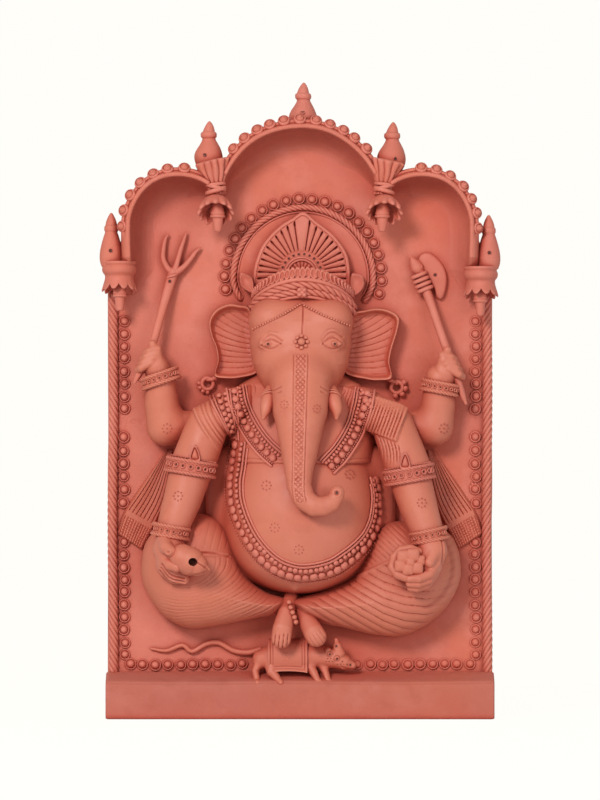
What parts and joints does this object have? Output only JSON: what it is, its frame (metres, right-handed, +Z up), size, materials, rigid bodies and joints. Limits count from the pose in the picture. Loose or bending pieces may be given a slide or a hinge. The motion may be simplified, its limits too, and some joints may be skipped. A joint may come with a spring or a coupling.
{
  "type": "terracotta relief plaque",
  "caption": "Terracotta relief plaque of a seated elephant-headed figure under an arched canopy with finials, standing on a ledge base; a shelf or wall ornament.",
  "frame": {"origin": "on the bottom face of the plinth, on the centreline, in the plane of the back slab's front face", "axes": "+Z up, +X to the viewer's right, -Y towards the viewer; the figure faces -Y"},
  "size_m": [0.385, 0.1249, 0.6086],
  "materials": {
    "slab_clay": "matte",
    "canopy_clay": "matte",
    "ornament_clay": "matte",
    "body_clay": "satin",
    "cloth_clay": "matte"
  },
  "bodies": {
    "root": {"axe": "ornament_clay", "back_slab": "slab_clay", "belly": "body_clay", "belly_garland": "ornament_clay", "border_rope_left": "ornament_clay", "border_rope_right": "ornament_clay", "canopy_centre_arch": "canopy_clay", "canopy_left_arch": "canopy_clay", "canopy_right_arch": "canopy_clay", "chest": "cloth_clay", "collar": "ornament_clay", "conch": "ornament_clay", "corbel_left": "canopy_clay", "corbel_right": "canopy_clay", "corner_pendant_left": "ornament_clay", "corner_pendant_right": "ornament_clay", "corner_pot_left": "canopy_clay", "corner_pot_right": "canopy_clay", "crown_band": "ornament_clay", "crown_fan": "ornament_clay", "crown_leaf_left": "ornament_clay", "crown_leaf_right": "ornament_clay", "finial_left": "canopy_clay", "finial_right": "canopy_clay", "finial_top": "canopy_clay", "halo_rope": "ornament_clay", "head": "body_clay", "left_armlet": "ornament_clay", "left_ear": "body_clay", "left_earring": "ornament_clay", "left_foot": "body_clay", "left_forearm": "body_clay", "left_leg": "cloth_clay", "left_lower_hand": "body_clay", "left_raised_arm": "body_clay", "left_raised_hand": "body_clay", "left_sleeve": "cloth_clay", "left_tusk": "body_clay", "mouse": "body_clay", "mouse_tail": "body_clay", "pendant_left": "ornament_clay", "pendant_right": "ornament_clay", "plinth": "slab_clay", "right_armlet": "ornament_clay", "right_ear": "body_clay", "right_earring": "ornament_clay", "right_foot": "body_clay", "right_forearm": "body_clay", "right_leg": "cloth_clay", "right_lower_hand": "body_clay", "right_raised_arm": "body_clay", "right_raised_hand": "body_clay", "right_sleeve": "cloth_clay", "right_tusk": "body_clay", "saddle_cloth": "cloth_clay", "sash_left": "cloth_clay", "sash_right": "cloth_clay", "sweets": "ornament_clay", "trident": "ornament_clay", "trunk": "body_clay"}
  },
  "joints": []
}
